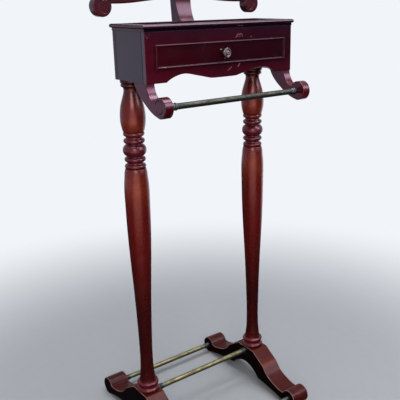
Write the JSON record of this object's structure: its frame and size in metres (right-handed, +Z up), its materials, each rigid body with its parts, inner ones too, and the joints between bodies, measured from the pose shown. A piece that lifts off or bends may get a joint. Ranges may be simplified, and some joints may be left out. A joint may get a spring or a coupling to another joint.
{
  "type": "valet stand",
  "caption": "Free-standing wooden valet stand with turned posts, brass shoe rails, a drawer under an open tray, a trouser bar and a coat hanger.",
  "frame": {"origin": "centre of the footprint on the floor, midway between the two posts", "axes": "+X to the stand's right seen from the front, +Y to the back, +Z up"},
  "size_m": [0.422, 0.372, 1.033],
  "materials": {
    "lacquered_wood": "high gloss red mahogany lacquer",
    "inner_wood": "bare or lightly stained wood inside the case",
    "dowel_wood": "plain birch dowel",
    "rail_brass": "lacquered brass tube, slightly dulled",
    "fitting_brass": "turned brass, dulled in the grooves",
    "bar_brass": "antique brass tube",
    "knob_metal": "antique pewter-coloured plating over brass",
    "fastener_steel": "zinc plated",
    "glide_plastic": "moulded nylon"
  },
  "bodies": {
    "stand": {"left_foot": "lacquered_wood", "right_foot": "lacquered_wood", "left_post": "lacquered_wood", "right_post": "lacquered_wood", "case_front": "lacquered_wood", "case_back": "lacquered_wood", "left_case_side": "lacquered_wood", "right_case_side": "lacquered_wood", "rim_front": "lacquered_wood", "rim_back": "lacquered_wood", "rim_left": "lacquered_wood", "rim_right": "lacquered_wood", "tray_floor": "lacquered_wood", "left_tray_divider": "lacquered_wood", "right_tray_divider": "lacquered_wood", "left_bar_bracket": "lacquered_wood", "right_bar_bracket": "lacquered_wood", "hanger_upright": "lacquered_wood", "hanger_yoke": "lacquered_wood", "case_bottom": "inner_wood", "left_post_cleat": "inner_wood", "right_post_cleat": "inner_wood", "left_drawer_runner": "inner_wood", "right_drawer_runner": "inner_wood", "drawer_stop": "inner_wood", "case_dowels": "dowel_wood", "bracket_dowels": "dowel_wood", "hanger_dowels": "dowel_wood", "back_shoe_rail": "rail_brass", "middle_shoe_rail": "rail_brass", "front_shoe_rail": "rail_brass", "back_rail_ends": "fitting_brass", "middle_rail_ends": "fitting_brass", "front_rail_ends": "fitting_brass", "trouser_bar_ends": "fitting_brass", "post_inserts": "fitting_brass", "trouser_bar": "bar_brass", "post_bolts": "fastener_steel", "post_washers": "fastener_steel", "post_screws": "fastener_steel", "hanger_screws": "fastener_steel", "foot_glides": "glide_plastic"},
    "drawer": {"drawer_front": "lacquered_wood", "left_drawer_side": "inner_wood", "right_drawer_side": "inner_wood", "drawer_back": "inner_wood", "drawer_bottom": "inner_wood", "knob": "knob_metal", "knob_backplate": "knob_metal", "knob_screw": "fastener_steel"}
  },
  "joints": [
    {"name": "drawer_slide", "type": "slide", "parent": "stand", "child": "drawer", "axis": [0, -1, 0], "range_m": [0, 0.0755]}
  ]
}
